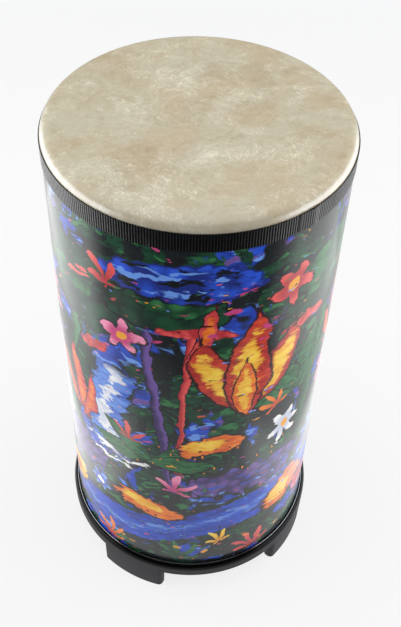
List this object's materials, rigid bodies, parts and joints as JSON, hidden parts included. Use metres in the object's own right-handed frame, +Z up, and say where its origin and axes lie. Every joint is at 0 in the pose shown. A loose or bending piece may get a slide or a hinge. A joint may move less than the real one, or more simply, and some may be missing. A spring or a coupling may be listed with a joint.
{
  "type": "tube drum",
  "caption": "Free-standing tube drum with a pretuned film head, black tape binding, printed skin, moulded ring of feet and an inner bass tube.",
  "frame": {"origin": "on the floor at the centre of the four feet", "axes": "+Z up along the shell's axis, -Y the front, with the gaps between the feet on the X and Y axes"},
  "size_m": [0.2668, 0.2668, 0.533],
  "materials": {
    "head_film": "satin, mottled parchment",
    "hoop_fibre": "laminated wood fibre, unfinished",
    "black_tape": "ribbed grosgrain tape",
    "shell_fibre": "resin-bonded wood fibre",
    "printed_skin": "glossy print",
    "black_moulding": "fine-grained sides, glossy lip",
    "plate_board": "bare fibreboard",
    "tube_card": "spiral-wound board",
    "screw_steel": "zinc plated"
  },
  "bodies": {
    "root": {"drumhead_film": "head_film", "head_hoop": "hoop_fibre", "binding_band": "black_tape", "shell_tube": "shell_fibre", "printed_wrap": "printed_skin", "foot_ring": "black_moulding", "bottom_plate": "plate_board", "bass_tube": "tube_card", "plate_screw_1": "screw_steel", "plate_screw_2": "screw_steel", "plate_screw_3": "screw_steel", "plate_screw_4": "screw_steel", "plate_screw_5": "screw_steel", "plate_screw_6": "screw_steel", "plate_screw_7": "screw_steel", "plate_screw_8": "screw_steel"}
  },
  "joints": []
}
